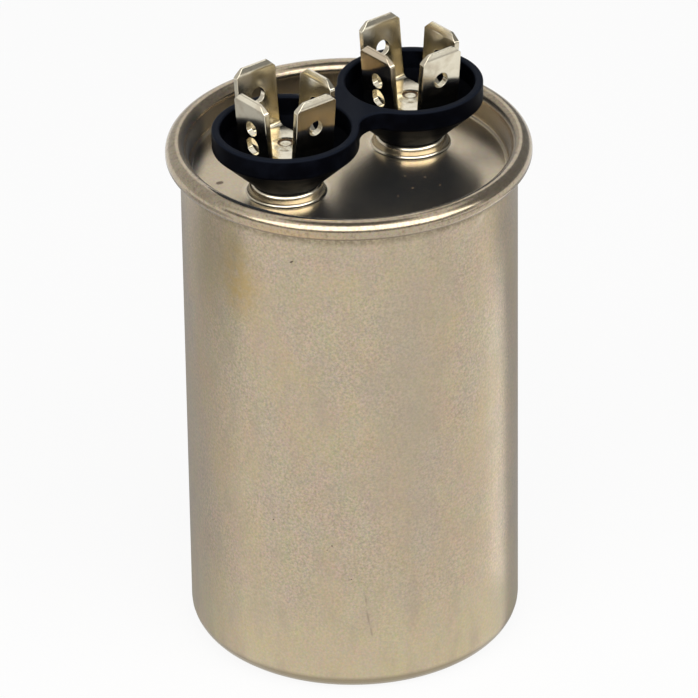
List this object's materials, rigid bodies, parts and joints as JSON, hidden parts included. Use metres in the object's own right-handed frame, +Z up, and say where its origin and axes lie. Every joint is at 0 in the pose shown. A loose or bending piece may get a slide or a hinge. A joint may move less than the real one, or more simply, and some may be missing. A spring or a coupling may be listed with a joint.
{
  "type": "motor run capacitor",
  "caption": "Round metal-can motor run capacitor with a seamed recessed cover, a black twin-cup terminal insulator and a crown of push-on tabs in each cup.",
  "frame": {"origin": "middle of the can's base", "axes": "+Z up along the can's axis; the two terminals stand along X, left one at -X"},
  "size_m": [0.0484, 0.0484, 0.0842],
  "materials": {
    "can_metal": "satin, warm grey, slightly mottled",
    "cover_metal": "bright tinned sheet",
    "insulator_black": "matte black moulding",
    "tab_metal": "bright tin plate",
    "rivet_metal": "tin plate",
    "gasket_rubber": "plain",
    "washer_board": "plain board"
  },
  "bodies": {
    "root": {"can": "can_metal", "cover": "cover_metal", "terminal_insulator": "insulator_black", "left_lower_strap": "tab_metal", "left_upper_strap": "tab_metal", "left_terminal_rivet": "rivet_metal", "left_gasket": "gasket_rubber", "left_inner_washer": "washer_board", "right_lower_strap": "tab_metal", "right_upper_strap": "tab_metal", "right_terminal_rivet": "rivet_metal", "right_gasket": "gasket_rubber", "right_inner_washer": "washer_board"}
  },
  "joints": []
}
